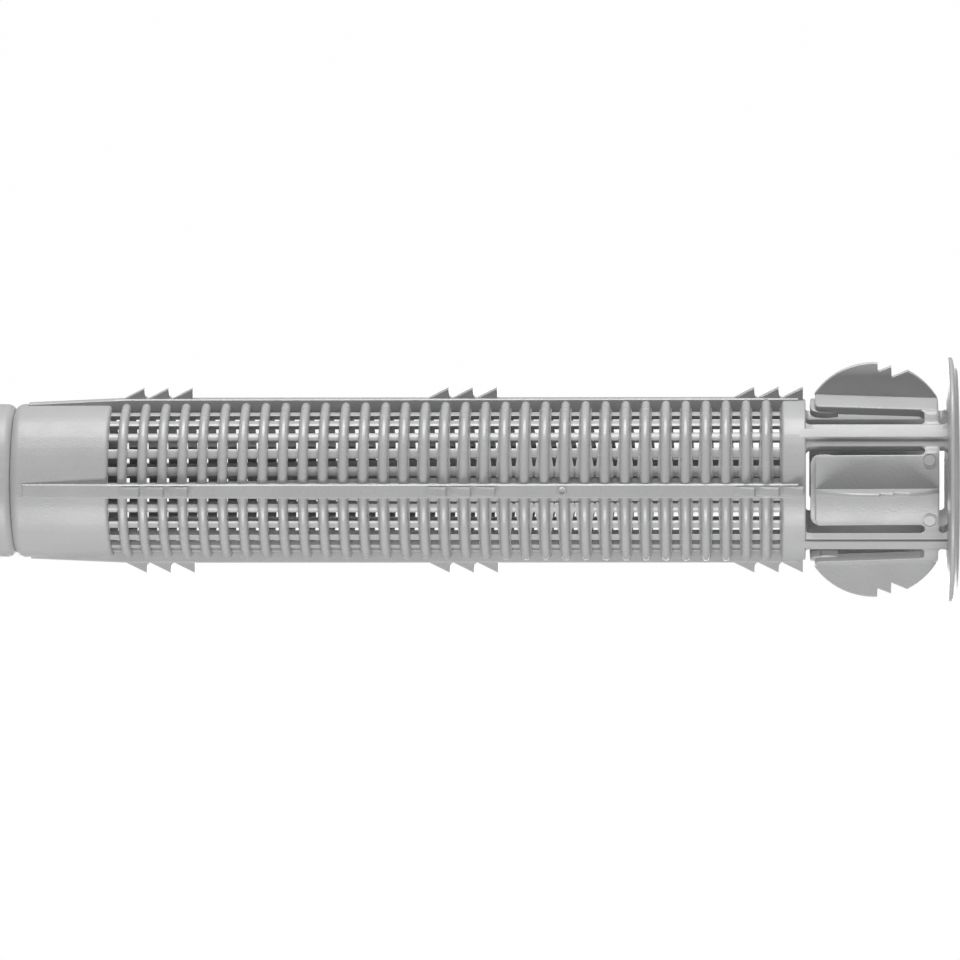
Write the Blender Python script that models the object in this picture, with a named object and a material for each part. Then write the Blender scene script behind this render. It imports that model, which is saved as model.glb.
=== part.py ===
"""Wall anchor: a perforated plastic sleeve that holds a threaded rod and its mortar in a hollow wall.

The sleeve's axis lies along X. The origin is the centre of the collar's seat face, at the mouth of
the drill hole. The tube runs into the wall towards -X, and the collar's outer face looks along +X.
Angles about the axis are in degrees from the front (-Y) up over the top (+Z). Values are in
millimetres, and mesh_of() turns them into metres.
"""

import math

import bmesh
import bpy
from mathutils import Matrix, Vector

MM = 0.001
GAP = 0.1  # left between pieces that meet
CHAMFER = 0.2
COLOUR = (0.52, 0.525, 0.53, 1.0)
ROUGHNESS = 0.42

# Stations along the axis
TIP_X = -130.0
CAP_X = -112.0
NOSE_X = -111.75
CAGE_X = -100.1
THROAT_X = -19.7
STRUT_X = -17.1
RIM_X = 0.84
BOSS_X = 1.14

# Tube
BORE_R = 8.1
TUBE_R = 9.21
SOCKET_R = 8.95
SOCKET_DEPTH = 3.2
TURN_STEPS = 24

# Lengthwise bars of the screen, wider towards the collar, and the hoops that tie their ends
BAR_COUNT = 24
BAR_IN_R = 8.15
BAR_OUT_R = 8.64
BAR_HALF_TIP = 0.54
BAR_HALF_COLLAR = 0.74
HOOP_IN_R = 8.1
HOOP_OUT_R = 8.76
HOOP_LENGTH = 1.1

# Rings of the screen
RING_COUNT = 33
RING_FIRST_X = -98.4
RING_LAST_X = -21.8
RING_IN_R = 8.82
RING_OUT_TIP = 9.33
RING_OUT_COLLAR = 9.67
RING_HALF_FOOT = 0.55
RING_HALF_CROWN = 0.36

# Ribs and their barbs; each group's three teeth end at the station given
RIB_ANGLES = (0.0, 90.0, 180.0, 270.0)
RIB_R = 9.9
RIB_FOOT_R = 8.98
RIB_HALF = 0.84
RIB_START_X = -110.7
RIB_START_R = 9.26
RIB_END_X = -18.06
BARB_R = 11.0
BARB_HALF = 0.54
BARB_RAMP = 2.1
BARB_TOE = 0.05
BARB_SINK = 0.3
BARB_PITCH = 2.9
BARB_GROUPS_X = (-90.5, -54.0, -17.4)

# Throat, struts and collar; the seat land lies outside the struts, which end in a shallow recess
THROAT_R = 9.66
STRUT_ANGLES = (45.0, 135.0, 225.0, 315.0)
STRUT_NAMES = ("front_top", "rear_top", "rear_bottom", "front_bottom")
STRUT_IN_R = 8.12
STRUT_OUT_R = 9.36
STRUT_HALF_DEG = 10.1
SPINE_R = 9.9
SPINE_HALF_DEG = 4.0
RECESS = 0.1
RECESS_R = 10.0
SEAT_R = 11.2
SEAT_RISE = 0.3
COLLAR_R = 14.64
BOSS_R = 13.3

# Wings
WING_NAMES = ("front", "top", "rear", "bottom")
WING_R = 9.92
WING_THICKNESS = 1.0
WING_HALF_DEG = 25.5
WING_CORNER_DEG = 22.6
WING_FREE_X = -16.0
WING_CORNER_X = -15.5
WEB_X = -2.8
WING_ROOT_X = -1.1
WEB_HALF_DEG = 33.2
WEB_INSET = 0.1
HINGE_X = -1.95
HINGE_R = 9.35
WING_SPLAY_DEG = 1.8
LIP_FREE_X = -16.55
LIP_CORNER_X = -15.6
LIP_END_X = -13.2
LIP_HALF_DEG = 27.4
LIP_CORNER_DEG = 21.5
LIP_IN_R = 8.5
LIP_OUT_R = 9.3
FIN_X = -8.46
FIN_CENTRE_R = 5.28
FIN_RADIUS = 8.76
FIN_FOOT_R = 9.4
FIN_HALF = 0.26
FIN_TEETH = ((-8.34, 13.08), (-6.72, 13.74), (-6.66, 12.42), (-4.86, 13.27))

# End cap, snapped into the nose by a beaded spigot
CAP_R = 9.18
CAP_WALL = 1.15
SHOULDER = 1.15
SPIGOT_R = 7.95
SPIGOT_IN_R = 7.1
LEAD_IN = 0.35
SPIGOT_END_X = -107.0
BEAD_X = -109.0
BEAD_HALF = 0.25
BEAD_R = 8.2
BEAD_GROOVE_R = 8.35


def at(x, radius, angle):
    """Point at a station, a distance from the axis and an angle."""
    turn = math.radians(angle)
    return Vector((x, -radius * math.cos(turn), radius * math.sin(turn)))


def arc(centre_x, centre_r, radius, start, end, steps):
    """Points of an arc in the (x, radius) half-plane, from start to end in degrees from +X."""
    turns = [math.radians(start + (end - start) * i / steps) for i in range(steps + 1)]
    return [(centre_x + radius * math.cos(t), centre_r + radius * math.sin(t)) for t in turns]


def bridge(bm, loops, closed):
    """Skin a row of equal loops of vertices: a closed row wraps round, an open one gets end faces."""
    pairs = list(zip(loops, loops[1:])) + ([(loops[-1], loops[0])] if closed else [])
    for here, there in pairs:
        for i in range(len(here)):
            bm.faces.new((here[i - 1], here[i], there[i], there[i - 1]))
    if not closed:
        bm.faces.new(loops[0])
        bm.faces.new(loops[-1])


def add_turned(bm, outline, steps=TURN_STEPS, offset=0.0):
    """Turn a closed outline of (x, radius) points about the axis."""
    angles = [360.0 * (i + offset) / steps for i in range(steps)]
    bridge(bm, [[bm.verts.new(at(x, r, a)) for x, r in outline] for a in angles], closed=True)


def add_prism(bm, outline, half_width, angle=90.0):
    """Extrude an outline of (x, height) points to both sides of the plane at this angle."""
    turn = Matrix.Rotation(math.radians(90.0 - angle), 3, "X")
    sides = [
        [bm.verts.new(turn @ Vector((x, y, height))) for x, height in outline]
        for y in (-half_width, half_width)
    ]
    bridge(bm, sides, closed=False)


def add_lofted(bm, sections):
    """Skin sections given as (station, [(radius, degrees), ...]) pairs, and close both ends."""
    bridge(bm, [[bm.verts.new(at(x, r, a)) for r, a in points] for x, points in sections], closed=False)


def sector(inner, outer, half_deg, columns=1, middle=90.0):
    """Section of a strip curved about the axis, as (radius, degrees) points."""
    angles = [middle + half_deg * (2.0 * i / columns - 1.0) for i in range(columns + 1)]
    return [(outer, a) for a in angles] + [(inner, a) for a in reversed(angles)]


def mesh_of(bm, name):
    """Mesh in metres, faces out, with points that coincide made one."""
    bmesh.ops.remove_doubles(bm, verts=bm.verts, dist=1e-5)
    bmesh.ops.recalc_face_normals(bm, faces=bm.faces)
    bmesh.ops.scale(bm, vec=(MM, MM, MM), verts=bm.verts)
    mesh = bpy.data.meshes.new(name)
    bm.to_mesh(mesh)
    bm.free()
    return mesh


def united(name, parts):
    """One closed mesh from overlapping ones, with the Boolean modifiers applied."""
    scene = bpy.context.scene
    objects = []
    for part in parts:
        piece = bpy.data.objects.new("union_part", mesh_of(part, "union_part"))
        scene.collection.objects.link(piece)
        objects.append(piece)
    for other in objects[1:]:
        join = objects[0].modifiers.new("join", "BOOLEAN")
        join.operation = "UNION"
        join.solver = "EXACT"
        join.object = other
    graph = bpy.context.evaluated_depsgraph_get()
    mesh = bpy.data.meshes.new_from_object(objects[0].evaluated_get(graph))
    mesh.name = name
    for piece in objects:
        bpy.data.objects.remove(piece)
    return mesh


def plastic(name):
    """Light grey moulded polymer with a fine satin surface."""
    material = bpy.data.materials.new(name + "_plastic")
    material.use_nodes = True
    shader = material.node_tree.nodes["Principled BSDF"]
    shader.inputs["Base Color"].default_value = COLOUR
    shader.inputs["Roughness"].default_value = ROUGHNESS
    shader.inputs["Metallic"].default_value = 0.0
    return material


def solid(name, mesh):
    """Put a finished mesh in the scene as a node of its own."""
    mesh.materials.clear()
    mesh.materials.append(plastic(name))
    mesh.shade_smooth()
    mesh.set_sharp_from_angle(angle=math.radians(35.0))
    node = bpy.data.objects.new(name, mesh)
    bpy.context.scene.collection.objects.link(node)
    return node


def barb(back_x):
    """Outline of one tooth: a ramp rising towards the collar, then a step down."""
    toe_x = back_x - BARB_RAMP
    foot_r = RIB_R - BARB_SINK
    return [(toe_x, foot_r), (toe_x, RIB_R - BARB_TOE), (back_x, BARB_R), (back_x, foot_r)]


def make_end_cap():
    straight_x = TIP_X + CAP_R
    inner_r = CAP_R - CAP_WALL
    outline = arc(straight_x, 0.0, CAP_R, 180.0, 90.0, 6)
    outline += arc(CAP_X - SHOULDER, CAP_R - SHOULDER, SHOULDER, 90.0, 30.0, 2)
    outline += [(CAP_X, BORE_R), (CAP_X + GAP, SPIGOT_R)]
    outline += [(BEAD_X - 2 * BEAD_HALF, SPIGOT_R), (BEAD_X - BEAD_HALF, BEAD_R)]
    outline += [(BEAD_X + BEAD_HALF, BEAD_R), (BEAD_X + 2 * BEAD_HALF, SPIGOT_R)]
    outline += [(SPIGOT_END_X - LEAD_IN, SPIGOT_R), (SPIGOT_END_X, SPIGOT_R - LEAD_IN)]
    outline += [(SPIGOT_END_X, SPIGOT_IN_R), (CAP_X - CAP_WALL, SPIGOT_IN_R)]
    outline += [(CAP_X - 2 * CAP_WALL, inner_r)]
    outline += arc(straight_x, 0.0, inner_r, 90.0, 180.0, 3)
    shell = bmesh.new()
    add_turned(shell, outline)
    return solid("end_cap", mesh_of(shell, "end_cap"))


def make_nose():
    edge = 0.25
    outline = [(NOSE_X, BORE_R), (NOSE_X, TUBE_R - SHOULDER)]
    outline += arc(NOSE_X + SHOULDER, TUBE_R - SHOULDER, SHOULDER, 150.0, 90.0, 2)
    outline += [(CAGE_X - edge, TUBE_R), (CAGE_X, TUBE_R - edge / 2), (CAGE_X, SOCKET_R)]
    outline += [(CAGE_X - SOCKET_DEPTH, SOCKET_R), (CAGE_X - SOCKET_DEPTH, BORE_R)]
    outline += [(BEAD_X + 3 * BEAD_HALF, BORE_R), (BEAD_X + 2 * BEAD_HALF, BEAD_GROOVE_R)]
    outline += [(BEAD_X - 2 * BEAD_HALF, BEAD_GROOVE_R), (BEAD_X - 3 * BEAD_HALF, BORE_R)]
    shell = bmesh.new()
    add_turned(shell, outline)
    ramps = bmesh.new()
    slope = (RIB_R - RIB_START_R) / (RING_FIRST_X - RIB_START_X)
    end_x = CAGE_X - GAP / 2
    end_r = RIB_START_R + slope * (end_x - RIB_START_X)
    ramp = [(RIB_START_X, RIB_FOOT_R), (RIB_START_X, RIB_START_R), (end_x, end_r), (end_x, RIB_FOOT_R)]
    for angle in RIB_ANGLES:
        add_prism(ramps, ramp, RIB_HALF, angle)
    return solid("nose_section", united("nose_section", [shell, ramps]))


def make_bars():
    start_x = CAGE_X - SOCKET_DEPTH + 2 * GAP
    end_x = THROAT_X + HOOP_LENGTH + 2 * GAP
    bars = bmesh.new()
    for i in range(BAR_COUNT):
        ends = ((start_x, BAR_HALF_TIP), (end_x, BAR_HALF_COLLAR))
        add_lofted(bars, [
            (x, sector(BAR_IN_R, BAR_OUT_R, math.degrees(half / BAR_OUT_R), middle=360.0 * i / BAR_COUNT))
            for x, half in ends
        ])
    hoops = bmesh.new()
    for low in (start_x - GAP, end_x + GAP - HOOP_LENGTH):
        high = low + HOOP_LENGTH
        outline = [(low, HOOP_IN_R), (low, HOOP_OUT_R), (high, HOOP_OUT_R), (high, HOOP_IN_R)]
        add_turned(hoops, outline, steps=BAR_COUNT, offset=0.5)
    return solid("screen_bars", united("screen_bars", [bars, hoops]))


def make_ring_cage():
    rings = bmesh.new()
    for i in range(RING_COUNT):
        along = i / (RING_COUNT - 1)
        x = RING_FIRST_X + (RING_LAST_X - RING_FIRST_X) * along
        outer = RING_OUT_TIP + (RING_OUT_COLLAR - RING_OUT_TIP) * along
        outline = [(x - RING_HALF_FOOT, RING_IN_R), (x - RING_HALF_CROWN, outer)]
        outline += [(x + RING_HALF_CROWN, outer), (x + RING_HALF_FOOT, RING_IN_R)]
        add_turned(rings, outline, steps=BAR_COUNT, offset=0.5)
    ribs = bmesh.new()
    barbs = bmesh.new()
    start_x, end_x = CAGE_X + GAP / 2, THROAT_X - GAP
    rib = [(start_x, RIB_FOOT_R), (start_x, RIB_R - BARB_TOE), (RING_FIRST_X, RIB_R)]
    rib += [(end_x, RIB_R), (end_x, RIB_FOOT_R)]
    for angle in RIB_ANGLES:
        add_prism(ribs, rib, RIB_HALF, angle)
        for group_x in BARB_GROUPS_X:
            for tooth in range(3):
                back_x = group_x - tooth * BARB_PITCH
                if back_x < end_x:
                    add_prism(barbs, barb(back_x), BARB_HALF, angle)
    return solid("ribbed_ring_cage", united("ribbed_ring_cage", [rings, ribs, barbs]))


def make_throat():
    socket_x = THROAT_X + HOOP_LENGTH + 5 * GAP
    outline = [(THROAT_X, SOCKET_R), (THROAT_X, THROAT_R - CHAMFER), (THROAT_X + CHAMFER, THROAT_R)]
    outline += [(STRUT_X - CHAMFER, THROAT_R), (STRUT_X, THROAT_R - CHAMFER), (STRUT_X, BORE_R)]
    outline += [(socket_x, BORE_R), (socket_x, SOCKET_R)]
    ring = bmesh.new()
    add_turned(ring, outline)
    run_outs = bmesh.new()
    barbs = bmesh.new()
    start_x = THROAT_X + GAP / 2
    foot_r = RIB_FOOT_R + CHAMFER
    run_out = [(start_x, foot_r), (start_x, RIB_R), (RIB_END_X, RIB_R), (RIB_END_X, foot_r)]
    for angle in RIB_ANGLES:
        add_prism(run_outs, run_out, RIB_HALF, angle)
        add_prism(barbs, barb(BARB_GROUPS_X[-1]), BARB_HALF, angle)
    return solid("throat_ring", united("throat_ring", [ring, run_outs, barbs]))


def make_strut(name, angle):
    section = [
        (STRUT_IN_R, -STRUT_HALF_DEG), (STRUT_OUT_R, -STRUT_HALF_DEG),
        (STRUT_OUT_R, -SPINE_HALF_DEG), (SPINE_R, -SPINE_HALF_DEG),
        (SPINE_R, SPINE_HALF_DEG), (STRUT_OUT_R, SPINE_HALF_DEG),
        (STRUT_OUT_R, STRUT_HALF_DEG), (STRUT_IN_R, STRUT_HALF_DEG), (STRUT_IN_R, 0.0),
    ]
    turned = [(radius, angle + degrees) for radius, degrees in section]
    bar = bmesh.new()
    add_lofted(bar, [(STRUT_X + GAP, turned), (RECESS - GAP, turned)])
    return solid("strut_" + name, mesh_of(bar, name))


def make_collar():
    rim = 0.25
    outline = [(RECESS, BORE_R), (RECESS, RECESS_R), (0.0, RECESS_R), (0.0, SEAT_R)]
    outline += [(SEAT_RISE, COLLAR_R - rim)]
    outline += arc((SEAT_RISE + RIM_X) / 2, COLLAR_R - rim, rim, 130.0, 50.0, 2)
    outline += [(RIM_X, COLLAR_R - rim), (RIM_X, BOSS_R + 0.25), (BOSS_X, BOSS_R)]
    outline += [(BOSS_X, BORE_R + 0.5), (BOSS_X - 0.5, BORE_R)]
    disc = bmesh.new()
    add_turned(disc, outline, steps=2 * TURN_STEPS)
    return solid("collar_flange", mesh_of(disc, "collar_flange"))


def fin_outline():
    """Half-round fin with two steps on its collar side, which catch the edge of the hole."""
    foot_deg = math.degrees(math.asin((FIN_FOOT_R - FIN_CENTRE_R) / FIN_RADIUS))
    last_x, last_r = FIN_TEETH[-1]
    resume_deg = math.degrees(math.atan2(last_r - FIN_CENTRE_R, last_x - FIN_X))
    crown_deg = math.degrees(math.acos((FIN_TEETH[0][0] - FIN_X) / FIN_RADIUS))
    outline = arc(FIN_X, FIN_CENTRE_R, FIN_RADIUS, 180.0 - foot_deg, crown_deg, 8)
    outline += FIN_TEETH[:-1]
    outline += arc(FIN_X, FIN_CENTRE_R, FIN_RADIUS, resume_deg, foot_deg, 4)
    return outline


def make_wing(name, angle):
    """One wing, modelled at the top and then turned to its place, with its origin on its hinge line."""
    plate_in = WING_R - WING_THICKNESS
    plate = bmesh.new()
    plate_ends = (
        (WING_FREE_X, WING_CORNER_DEG), (WING_CORNER_X, WING_HALF_DEG), (WING_ROOT_X, WING_HALF_DEG),
    )
    add_lofted(plate, [(x, sector(plate_in, WING_R, half, columns=6)) for x, half in plate_ends])
    web = bmesh.new()
    web_section = sector(plate_in + WEB_INSET, WING_R - WEB_INSET, WEB_HALF_DEG, columns=8)
    add_lofted(web, [(WEB_X, web_section), (WING_ROOT_X - 0.02, web_section)])
    lip = bmesh.new()
    lip_ends = (
        (LIP_FREE_X, LIP_CORNER_DEG), (LIP_CORNER_X, LIP_HALF_DEG), (LIP_END_X, WING_HALF_DEG - 1.0),
    )
    add_lofted(lip, [(x, sector(LIP_IN_R, LIP_OUT_R, half, columns=6)) for x, half in lip_ends])
    fin = bmesh.new()
    add_prism(fin, fin_outline(), FIN_HALF)
    hinge = Vector((HINGE_X, 0.0, HINGE_R))
    for part in (plate, web, lip, fin):
        bmesh.ops.translate(part, vec=-hinge, verts=part.verts)
    splay = Matrix.Rotation(math.radians(WING_SPLAY_DEG), 3, "Y")
    for part in (plate, web, lip):
        bmesh.ops.rotate(part, cent=(0.0, 0.0, 0.0), matrix=splay, verts=part.verts)
    wing = solid("wing_" + name, united("wing_" + name, [plate, web, lip, fin]))
    wing.location = at(HINGE_X, HINGE_R, angle) * MM
    wing.rotation_euler = (math.radians(90.0 - angle), 0.0, 0.0)
    return wing


def main():
    for old in list(bpy.data.objects):
        bpy.data.objects.remove(old)
    make_end_cap()
    make_nose()
    make_bars()
    make_ring_cage()
    make_throat()
    for name, angle in zip(STRUT_NAMES, STRUT_ANGLES):
        make_strut(name, angle)
    make_collar()
    for name, angle in zip(WING_NAMES, RIB_ANGLES):
        make_wing(name, angle)


main()
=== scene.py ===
"""Looks of the wall anchor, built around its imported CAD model.

The sleeve's axis lies along X, with the collar towards +X. Angles about the axis are in degrees
from the front (-Y) up over the top (+Z). Sizes are in millimetres, and the mesh builders turn them
into metres. Most pieces are skins of a grid of cells: stations run along X, columns run round the
axis and levels run outwards.
"""

import math

import bmesh
import bpy
from mathutils import Matrix, Quaternion, Vector


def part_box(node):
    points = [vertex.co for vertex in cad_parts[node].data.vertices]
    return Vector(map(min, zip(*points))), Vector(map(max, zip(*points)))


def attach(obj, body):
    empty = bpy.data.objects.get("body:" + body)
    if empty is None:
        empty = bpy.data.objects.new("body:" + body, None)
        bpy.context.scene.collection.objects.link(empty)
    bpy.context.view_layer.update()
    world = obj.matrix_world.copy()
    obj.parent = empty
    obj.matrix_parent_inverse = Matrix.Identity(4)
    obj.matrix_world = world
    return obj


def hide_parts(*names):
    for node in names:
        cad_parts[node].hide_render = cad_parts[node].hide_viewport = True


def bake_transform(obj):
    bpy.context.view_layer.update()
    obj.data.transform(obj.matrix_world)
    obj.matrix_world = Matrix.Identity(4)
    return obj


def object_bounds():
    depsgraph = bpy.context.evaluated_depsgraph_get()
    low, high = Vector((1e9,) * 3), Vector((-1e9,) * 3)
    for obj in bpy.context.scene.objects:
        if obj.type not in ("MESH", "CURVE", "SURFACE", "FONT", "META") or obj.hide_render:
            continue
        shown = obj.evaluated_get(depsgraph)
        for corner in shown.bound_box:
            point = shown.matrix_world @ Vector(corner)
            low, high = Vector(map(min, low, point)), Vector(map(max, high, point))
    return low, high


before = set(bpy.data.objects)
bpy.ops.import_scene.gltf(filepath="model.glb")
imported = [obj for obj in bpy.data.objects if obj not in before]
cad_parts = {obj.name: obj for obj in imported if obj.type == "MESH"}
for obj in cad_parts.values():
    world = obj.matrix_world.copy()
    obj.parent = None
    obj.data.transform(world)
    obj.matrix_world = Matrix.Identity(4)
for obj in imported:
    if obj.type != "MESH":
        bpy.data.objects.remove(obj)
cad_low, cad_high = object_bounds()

MM = 0.001

# Places read from the frame. The shifts close the gaps between the CAD solids and follow the photo.
CAP_LENGTH = 18.0
NOSE_SHIFT, CAGE_SHIFT, THROAT_SHIFT = -0.07, -0.04, -0.24
TIP_X = cad_low.x / MM
CAP_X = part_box("end_cap")[0].x / MM + CAP_LENGTH
NOSE_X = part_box("nose_section")[0].x / MM + NOSE_SHIFT
CAGE_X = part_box("nose_section")[1].x / MM + CAGE_SHIFT
THROAT_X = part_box("throat_ring")[0].x / MM + THROAT_SHIFT
STRUT_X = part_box("throat_ring")[1].x / MM
COLLAR_R = cad_high.z / MM

# Tube
BORE_R = 8.1
BAR_R = 8.64
NOSE_R = 9.2
NOSE_GROOVE_R = 8.52
NOSE_SHOULDER = 1.2
NOSE_EDGE = 0.5
NOSE_STEPS = 8
THROAT_R = 9.66
THROAT_EDGE = 0.38
THROAT_END_EDGE = 0.2

# Screen
BAR_COUNT = 24
BAR_PITCH = 360.0 / BAR_COUNT
RIB_EVERY = BAR_COUNT // 4
BAR_HALF_TIP = 0.50
BAR_HALF_COLLAR = 0.60
BAR_CHAMFER = 0.06
RING_COUNT = 33
RING_FIRST_X = -98.42
RING_LAST_X = -21.8
RING_HALF = 0.55
RING_OUT_TIP = 9.40
RING_OUT_COLLAR = 9.77
RING_STEPS = 8
RING_LEAST = 0.08

# Fillet at a ring's foot: how its width grows along X and swells halfway
FOOT_LEDGE = 0.05
FOOT_KNEE = 0.3
FOOT_TIP = 0.03
FOOT_COLLAR = 0.15
FOOT_BESIDE = 0.17
FOOT_GROWTH = (-86.0, -45.0)
FOOT_SWELL = 0.3
FOOT_SWELL_X = -46.0
FOOT_SWELL_REACH = 8.0
THROAT_FOOT = 0.24

# Ribs
RIB_HALF = 0.84
RIB_CHAMFER = 0.14
RIB_R = 9.94
RIB_START_X = -110.2
RIB_START_R = 9.42
RIB_FULL_X = -98.4
RIB_END_X = -18.0

# Bar under a rib: its half widths, and where it grows and shrinks between them
RIB_BAR_TIP = 0.86
RIB_BAR_MIDDLE = 1.4
RIB_BAR_COLLAR = 1.34
RIB_BAR_GROWTH = (-97.0, -60.0)
RIB_BAR_SHRINKAGE = (-46.0, -34.0)

# Barbs. The points of the crown and of the hollow behind it are (x from the barb's back, radius).
BARB_HALF = 0.54
BARB_CHAMFER = 0.13
BARB_R = 11.2
BARB_RAMP = 2.4
BARB_TOE = 0.05
BARB_CROWN = ((-0.06, BARB_R - 0.03), (0.0, BARB_R - 0.1))
BARB_HOLLOW = ((0.05, 10.4), (0.14, 10.15), (0.26, 10.01), (0.42, RIB_R + 0.03))
BARB_PITCH = 2.904
BARB_GROUPS_X = (-90.46, -53.96, -17.4)
BARB_SLACK = 0.005
STATION_GAP = 0.004

# End cap
CAP_WALL = 1.15
CAP_GAP = 0.03
CAP_TAPER = (2.2, 1.0)
SPIGOT_R = 7.95
SPIGOT_IN_R = 7.1
SPIGOT_END_X = -107.0
SPIGOT_CHAMFER = 0.3
CAP_STEPS = 144

# Struts, from the throat to the collar
STRUT_NAMES = {"front_top": 42.8, "rear_top": 135.0, "rear_bottom": 225.0, "front_bottom": 315.0}
STRUT_IN_R = 8.12
STRUT_OUT_R = 9.36
STRUT_HALF_DEG = 10.1
STRUT_FILLET = 0.55
STRUT_EDGE = 0.12
STRUT_EDGE_KNEE = 0.3
STRUT_STEPS = 8
STRUT_FILLET_STEPS = 6
SPINE_HALF = 0.66
SPINE_FOOT = 0.12
SPINE_FOOT_RISE = 0.08
SPINE_CHAMFER = 0.06
SPINE_R = 9.78
SPINE_START_R = THROAT_R - 0.04
SPINE_START_X = -18.4
SPINE_FULL_X = -16.1

# Collar
SEAT_X = -0.3
SEAT_R = 11.2
SEAT_LAP = 0.25
RIM_MIDDLE_X = 0.2
RIM_ROUND = 0.3
LAND_EDGE = (0.74, 13.55)
LAND_R = 13.2
LAND_X = 1.0
LAND_ROUND = 0.12
MOUTH_ROUND = 0.25
COLLAR_STEPS = 192

# Wings
WING_NAMES = {"front": 0.0, "top": 90.0, "rear": 180.0, "bottom": 270.0}
HINGE_X = -1.95
HINGE_R = 9.35
SPLAY_DEG = 1.8
PLATE_IN_R = 8.92
PLATE_OUT_R = 9.92
PLATE_HALF_DEG = 25.5
PLATE_FREE_X = -16.0
PLATE_CORNER = 0.6
PLATE_ROOT_X = -1.32
PLATE_EDGE = 0.2
PLATE_EDGE_STEPS = (0.0, 0.03, 0.1, PLATE_EDGE)
PLATE_SHARES = 7
LIP_IN_R = 8.5
LIP_OUT_R = 9.3
LIP_HALF_DEG = 27.4
LIP_FREE_X = -16.55
LIP_CORNER = 1.2
LIP_FADE_X = -14.6
LIP_END_X = -13.2
LIP_STEP = 0.4
LIP_EDGE = 0.14
LIP_EDGE_STEPS = (0.0, 0.04, LIP_EDGE)
LIP_SIDE_STEP = 0.12
LIP_INNER_DEG = PLATE_HALF_DEG + 0.01
LIP_OUTER_DEG = LIP_INNER_DEG + 0.02
LIP_FADED_DEG = PLATE_HALF_DEG + 0.05
LIP_SLANT = 0.3

# Fin of a wing. A tooth is (x of its step, radius before it, radius after it), and the round
# outline resumes at (x, radius).
FIN_X = -8.86
FIN_CENTRE_R = 5.42
FIN_RADIUS = 8.76
FIN_HALF = 0.3
FIN_CHAMFER = 0.17
FIN_TEETH = ((-8.5, 14.17, 13.15), (-6.85, 13.78, 12.45))
FIN_RESUME = (-4.92, 13.25)
FIN_STEP = 0.05
FIN_MIDDLES = (-7.5, -5.8)
FIN_LEAST = 0.04
FIN_MARGINS = (0.75, 0.25)
FIN_RISE_DEG = range(36, 90, 4)
FIN_FALL_DEG = range(62, 30, -4)

# Web between a wing's root and a strut
WEB_X = -3.0
WEB_FILLET = 0.55
WEB_LAP_DEG = 0.7
WEB_INSET = 0.02
WEB_EDGE = 0.1
WEB_IN_DROP = 0.4
WEB_BEND = (0.1, 0.95)
WEB_CELLS = (8, 12)

# Moulding marks, with outlines as (radius, height over the surface)
GATE_X = -46.0
GATE_OUTLINE = (
    (0.0, 0.03), (0.2, 0.04), (0.34, 0.2), (0.46, 0.24), (0.58, 0.12), (0.62, -0.05), (0.0, -0.1)
)
GATE_STEPS = 24
EJECTOR_WINGS = ("front", "rear")
EJECTOR_X = -2.45
EJECTOR_DEG = 21.2
EJECTOR_OUTLINE = (
    (0.0, 0.07), (0.66, 0.06), (0.7, -0.02), (0.76, -0.02), (0.8, 0.07), (0.88, 0.05),
    (0.92, -0.08), (0.0, -0.12),
)
EJECTOR_STEPS = 32

# Plastic. A noise is (size in millimetres, detail, roughness of the noise).
GREY = 0.38
TINT = (1.0, 1.003, 1.006)
PLASTIC_IOR = 1.48
NOISE_RANGE = (0.3, 0.7)
FLOW_NOISE, FLOW_RANGE = (6.0, 4.0, 0.5), (0.96, 1.03)
SPECK_NOISE, SPECK_RANGE = (0.16, 2.0, 0.5), (0.965, 1.03)
RUBBED_NOISE, LESS_ROUGH, MORE_ROUGH = (2.6, 5.0, 0.6), 0.05, 0.07
GRAIN_DETAIL, GRAIN_NOISE_ROUGHNESS = 3.0, 0.55
SHARP_DEG = 34.0

# Studio, in metres. The floor's glow is painted light, and it also lights the object from below: it
# glows dimly in its middle under the object, brighter away from its middle, and white behind the
# object.
FLOOR_Z = -0.5
FLOOR_SIZE = 24.0
GLOW_FROM, GLOW_TO = 0.9, 2.15
GLOW_MIDDLE, GLOW_ROUND, GLOW_BEHIND = 0.22, 0.55, 0.98
FLOOR_COLOUR = 0.06
TOP_LAMP = {"elevation": 88.0, "distance": 0.9, "size": (0.8, 0.40), "radiance": 11.5}
FRONT_LAMP = {"elevation": -45.0, "distance": 0.5, "size": (0.6, 0.10), "radiance": 15.2}
BACK_LAMP = {"elevation": -168.0, "distance": 0.9, "size": (1.0, 0.36), "radiance": 3.0}
WORLD = 0.25
CAMERA_TARGET = (-0.0561, 0.0, 0.0)
CAMERA_AZIMUTH = 2.24
CAMERA_ELEVATION = 7.9
CAMERA_ROLL = 0.36
CAMERA_DISTANCE = 0.853
CAMERA_LENS = 266.6
CAMERA_SENSOR = 36.0

# The sides of a cell, each as the step to its neighbour and the four corners of their common face
SIDES = (
    ((0, 0, 1), ((0, 0, 1), (1, 0, 1), (1, 1, 1), (0, 1, 1))),
    ((0, 0, -1), ((0, 0, 0), (0, 1, 0), (1, 1, 0), (1, 0, 0))),
    ((1, 0, 0), ((1, 0, 0), (1, 1, 0), (1, 1, 1), (1, 0, 1))),
    ((-1, 0, 0), ((0, 0, 0), (0, 0, 1), (0, 1, 1), (0, 1, 0))),
    ((0, 1, 0), ((0, 1, 0), (0, 1, 1), (1, 1, 1), (1, 1, 0))),
    ((0, -1, 0), ((0, 0, 0), (1, 0, 0), (1, 0, 1), (0, 0, 1))),
)


def at(x, radius, angle):
    """Point at a station, a distance from the axis and an angle."""
    turn = math.radians(angle)
    return Vector((x, -radius * math.cos(turn), radius * math.sin(turn)))


def lerp(low, high, share):
    return low + (high - low) * share


def ramp(value, start, end):
    """Share from 0 at start to 1 at end, held outside."""
    return min(1.0, max(0.0, (value - start) / (end - start)))


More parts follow.
